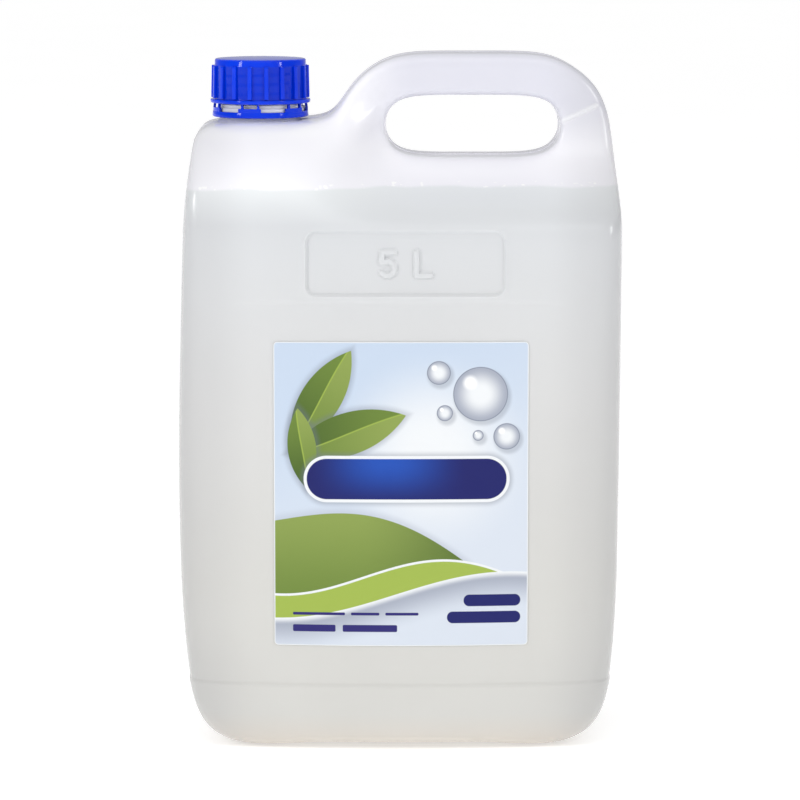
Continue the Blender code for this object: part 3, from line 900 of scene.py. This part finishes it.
cap = {
    "steps": 216,  # turned steps, twelve to a rib
    "ribs": 18,
    "ribSteps": 3,
    "ribTurn": 16.5,  # degrees that bring the ribs to their place
    "ribHeight": 1.15,
    "ribTop": 288.4,
    "skirtRadius": 19.75,
    "topRadius": 19.55,
    "topEdge": 0.9,
    "dome": 0.5,
    "flangeTop": 274.05,
    "flangeRadius": 21.5,
    "innerRadius": 18.5,
    "roof": 290.1,
    "sinkDepth": 0.035,  # faint sink marks over the thread inside
    "bevel": 0.28,
    "blue": (0.0, 0.03, 0.66, 1),
    "blueLight": (0.0, 0.042, 0.74, 1),
    "bluePaintedShade": (0.0, 0.008, 0.22, 1),
}


def capFaceRegion(bm):
    # skirt faces that are drawn out into ribs
    wanted = []
    perRib = cap["steps"] // cap["ribs"]
    for face in bm.faces:
        centre = face.calc_center_median()
        if math.hypot(centre.x, centre.y) < cap["innerRadius"] + 0.6:
            continue
        step = int((math.atan2(centre.y, centre.x) % math.tau) / (math.tau / cap["steps"]))
        if cap["flangeTop"] + 0.4 < centre.z < cap["ribTop"] and step % perRib < cap["ribSteps"]:
            wanted.append(face)
    return wanted


def makeCap(finish):
    low, high = capLow.z, capHigh.z
    skirt = [(cap["skirtRadius"], z, 0) for z in steps(cap["flangeTop"] + 0.5, cap["ribTop"], 0.7)]
    profile = roundProfile([
        (0.0, high, 0), (8.0, high - 0.05, 0), (15.0, high - cap["dome"] * 0.5, 0),
        (cap["topRadius"], high - cap["dome"], cap["topEdge"]),
        (cap["topRadius"] + 0.1, cap["ribTop"] + 0.6, 0),
        (cap["skirtRadius"], cap["ribTop"] + 0.1, 0),
    ] + skirt[::-1] + [
        (cap["skirtRadius"], cap["flangeTop"], 0.3), (cap["flangeRadius"], cap["flangeTop"], 0.5),
        (cap["flangeRadius"], low, 0.5), (cap["innerRadius"] + 0.4, low, 0.2),
        (cap["innerRadius"], low + 1, 0), (cap["innerRadius"], cap["roof"], 0.6), (0.0, cap["roof"], 0),
    ])
    bm = spinRound(profile, cap["steps"])
    ribs = capFaceRegion(bm)
    raised = bmesh.ops.extrude_face_region(bm, geom=ribs)
    bmesh.ops.delete(bm, geom=ribs, context="FACES_ONLY")
    crests = set(vertsIn(raised))
    for v in crests:
        outward = Vector((v.co.x, v.co.y, 0)).normalized()
        down = smoothStep(cap["ribTop"], cap["flangeTop"], v.co.z)
        v.co += outward * (cap["ribHeight"] + 0.25 * down)
    bm.normal_update()
    edges = []
    for e in bm.edges:
        if e.verts[0] in crests and e.verts[1] in crests and e.is_manifold:
            if e.calc_face_angle(0) > math.radians(50):
                edges.append(e)
    bmesh.ops.bevel(
        bm, geom=edges, offset=cap["bevel"], offset_type="OFFSET", segments=3,
        profile=0.5, affect="EDGES", material=-1,
    )
    for v in bm.verts:
        radius = math.hypot(v.co.x, v.co.y)
        if abs(radius - cap["skirtRadius"]) < 0.1 and cap["flangeTop"] + 1 < v.co.z < cap["ribTop"] - 0.5:
            turn = math.atan2(v.co.y, v.co.x)
            sink = math.sin(v.co.z / can["threadPitch"] * math.tau - turn) * cap["sinkDepth"]
            v.co.x *= (radius + sink) / radius
            v.co.y *= (radius + sink) / radius
    bmesh.ops.recalc_face_normals(bm, faces=bm.faces)
    bmesh.ops.rotate(bm, matrix=Matrix.Rotation(math.radians(cap["ribTurn"]), 3, "Z"), verts=bm.verts)
    bmesh.ops.translate(bm, vec=(neckX, 0, 0), verts=bm.verts)
    made = newObject("cap", bm, finish)
    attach(made, "cap")
    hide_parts("screw_cap")
    print("cap made")


band = {
    "steps": 216,
    "periods": 6,
    "blockSteps": 17,
    "bridges": ((2, 4), (14, 16)),  # steps of a block that carry a bridge
    "turn": -115.9,  # degrees from the turned seam to the first block's start
    "floor": 269.0,
    "blockTop": 270.6,
    "radius": 20.75,
    "innerRadius": 19.3,
    "lipRadius": 18.0,
    "lipTop": 267.6,
    "bevel": 0.14,
}


def makeBand(finish):
    # ring with blocks between its windows, and two tapered bridges on every block
    low, high = bandLow.z, bandHigh.z
    profile = [(band["innerRadius"], band["floor"])]
    profile += roundProfile([
        (band["innerRadius"] + 0.1, band["floor"], 0), (band["radius"] - 0.25, band["floor"], 0.2),
        (band["radius"], low + 0.2, 0.4), (band["radius"] - 0.5, low, 0.2), (band["lipRadius"], low, 0.15),
        (band["lipRadius"], band["lipTop"], 0.15), (band["innerRadius"], band["lipTop"] + 0.4, 0),
    ], 3)
    bm = spinRound(profile, band["steps"])
    period = band["steps"] // band["periods"]

    def raiseSteps(floor, top, wanted, taper):
        faces = []
        for face in bm.faces:
            centre = face.calc_center_median()
            step = int((math.atan2(centre.y, centre.x) % math.tau) / (math.tau / band["steps"]))
            if face.normal.z > 0.9 and abs(centre.z - floor) < 0.03 and step % period in wanted:
                faces.append(face)
        raised = vertsIn(bmesh.ops.extrude_face_region(bm, geom=faces))
        bmesh.ops.delete(bm, geom=faces, context="FACES_ONLY")
        for v in raised:
            v.co.z = top
            if taper:
                angle = math.atan2(v.co.y, v.co.x) % (math.tau / band["periods"])
                middle = (wanted[0] + wanted[-1] + 1) / 2 * math.tau / band["steps"]
                turn = Matrix.Rotation((middle - angle) * taper, 3, "Z")
                v.co = turn @ v.co
                v.co -= Vector((v.co.x, v.co.y, 0)).normalized() * taper * 0.5
        bm.normal_update()

    bm.normal_update()
    raiseSteps(band["floor"], band["blockTop"], range(band["blockSteps"]), 0.0)
    for first, last in band["bridges"]:
        raiseSteps(band["blockTop"], high + 0.15, range(first, last), 0.35)
    bmesh.ops.recalc_face_normals(bm, faces=bm.faces)
    bmesh.ops.rotate(bm, matrix=Matrix.Rotation(math.radians(band["turn"]), 3, "Z"), verts=bm.verts)
    bmesh.ops.translate(bm, vec=(neckX, 0, 0), verts=bm.verts)
    made = newObject("band", bm, finish)
    bevel = made.modifiers.new("edges", "BEVEL")
    bevel.width = band["bevel"] * mm
    bevel.segments = 2
    bevel.limit_method = "ANGLE"
    bevel.angle_limit = math.radians(50)
    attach(made, "can")
    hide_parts("tamper_band")
    print("band made")


def capMaterial():
    made, tree, shader = newMaterial(
        "bluePlastic", Roughness=0.09, IOR=1.45, Specular_IOR_Level=0.3, Subsurface_Weight=0.05,
        Subsurface_Scale=0.001, Subsurface_Radius=(0.2, 0.4, 1.0),
    )
    shade = noiseOf(tree, 45, 2.0, (1, 1, 0.5))
    colour = colourBands(tree, shade, ((0.35, cap["blue"]), (0.65, cap["blueLight"])))
    # painted shade: the skirt between the ribs is darker than their crests, as shade falls between them
    x, y, z = placeInMm(tree)
    away = length(tree, maths(tree, "SUBTRACT", x, neckX), y)
    paintedRibShade = ramp(tree, away, cap["skirtRadius"] + 0.7, cap["skirtRadius"] + 0.1, 0.0, 0.3)
    onSkirt = ramp(tree, z, cap["ribTop"] + 0.5, cap["ribTop"] - 0.5)
    colour = mixed(tree, maths(tree, "MULTIPLY", paintedRibShade, onSkirt), colour, cap["bluePaintedShade"])
    tree.links.new(colour, shader.inputs["Base Color"])
    worn = ramp(tree, noiseOf(tree, 120, 2.0), 0.35, 0.7, 0.07, 0.12)
    tree.links.new(worn, shader.inputs["Roughness"])
    addBump(tree, shader, noiseOf(tree, 240, 2.0), 0.0003, 0.06)
    return made


def foamMaterial():
    made, tree, shader = newMaterial("whiteFoam", Roughness=0.75)
    cells = noiseOf(tree, 900, 2.0)
    colour = colourBands(tree, cells, ((0.35, grey(0.80)), (0.6, grey(0.92))))
    tree.links.new(colour, shader.inputs["Base Color"])
    addBump(tree, shader, cells, 0.0003, 0.3)
    return made


def soapMaterial():
    made, tree, shader = newMaterial(
        "pearlSoap", Roughness=0.15, Subsurface_Weight=0.3, Subsurface_Scale=0.006,
    )
    swirl = noiseOf(tree, 22, 3.0, (1, 1, 0.4))
    colour = colourBands(tree, swirl, ((0.35, (0.70, 0.71, 0.70, 1)), (0.65, (0.78, 0.78, 0.76, 1))))
    tree.links.new(colour, shader.inputs["Base Color"])
    return made


def dressNode(name, finish):
    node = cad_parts[name]
    node.data.materials.clear()
    node.data.materials.append(finish)


studio = {
    "floorRadius": 40.0,
    "floorTone": 0.93,
    "floorGlow": 0.36,
    "skyLow": 0.50,
    "skyHigh": 0.82,
    "skySide": 0.22,
    "cameraPlace": (0.0002, -1.8, 0.3851),
    "cameraPitch": 7.657,
    "lens": 188.25,
    "aimHeight": 0.17,
    "lampDistance": 1.3,
    "lampTurn": 52.0,
    "lampHeight": 0.7,
    "leftSize": (0.2, 0.6),
    "leftPower": 5.0,
    "rightSize": (0.14, 0.6),
    "rightPower": 3.6,
    "topDistance": 0.9,
    "topHeight": 1.15,
    "topPower": 1.6,
    "topSize": (1.2, 0.8),
}


def makeFloor():
    bm = bmesh.new()
    bmesh.ops.create_circle(bm, cap_ends=True, segments=96, radius=studio["floorRadius"] / mm)
    made, tree, shader = newMaterial(
        "paleFloor", Roughness=0.9, Specular_IOR_Level=0.0,
        Emission_Color=grey(1.0), Emission_Strength=studio["floorGlow"],
    )
    tone = studio["floorTone"]
    colour = colourBands(tree, noiseOf(tree, 3, 2.0), ((0.3, grey(tone - 0.01)), (0.7, grey(tone))))
    tree.links.new(colour, shader.inputs["Base Color"])
    newObject("floor", bm, made)


def makeWorld():
    # soft white room, brighter overhead and darker to the left and right
    world = bpy.data.worlds.new("room")
    bpy.context.scene.world = world
    world.use_nodes = True
    tree = world.node_tree
    direction = tree.nodes.new("ShaderNodeTexCoord")
    split = tree.nodes.new("ShaderNodeSeparateXYZ")
    tree.links.new(direction.outputs["Generated"], split.inputs[0])
    sideways = ramp(tree, maths(tree, "ABSOLUTE", split.outputs[0]), 0.55, 0.98)
    overhead = ramp(tree, split.outputs[2], 0.1, 0.8)
    level = mixed(tree, overhead, grey(studio["skyLow"]), grey(studio["skyHigh"]))
    level = mixed(tree, sideways, level, grey(studio["skySide"]))
    background = tree.nodes["Background"]
    tree.links.new(level, background.inputs["Color"])


def addLamp(name, turn, distance, height, power, size):
    # soft box that faces the can
    angle = math.radians(turn)
    place = Vector((math.sin(angle), -math.cos(angle), 0)) * distance + Vector((0, 0, height))
    data = bpy.data.lights.new(name, "AREA")
    data.shape = "RECTANGLE"
    data.size, data.size_y = size
    data.energy = power
    made = bpy.data.objects.new(name, data)
    made.location = place
    aim = Vector((0, 0, studio["aimHeight"])) - place
    made.rotation_euler = aim.to_track_quat("-Z", "Y").to_euler()
    bpy.context.scene.collection.objects.link(made)


def makeCamera():
    data = bpy.data.cameras.new("camera")
    data.lens = studio["lens"]
    data.sensor_width = 36.0
    data.clip_end = 200.0
    made = bpy.data.objects.new("camera", data)
    made.location = studio["cameraPlace"]
    made.rotation_euler = (math.radians(90 - studio["cameraPitch"]), 0, 0)
    bpy.context.scene.collection.objects.link(made)
    bpy.context.scene.camera = made


canPiece = makeCan(canMaterial())
makeLabel(labelMaterial(), canPiece)
blue = capMaterial()
makeCap(blue)
makeBand(blue)
dressNode("cap_liner", foamMaterial())
dressNode("liquid_soap", soapMaterial())

makeFloor()
makeWorld()
addLamp(
    "leftBox", -studio["lampTurn"], studio["lampDistance"], studio["lampHeight"],
    studio["leftPower"], studio["leftSize"],
)
addLamp(
    "rightBox", studio["lampTurn"], studio["lampDistance"], studio["lampHeight"],
    studio["rightPower"], studio["rightSize"],
)
addLamp("topBox", 0, studio["topDistance"], studio["topHeight"], studio["topPower"], studio["topSize"])
makeCamera()
bpy.context.scene.view_settings.view_transform = "Standard"
print("studio made")
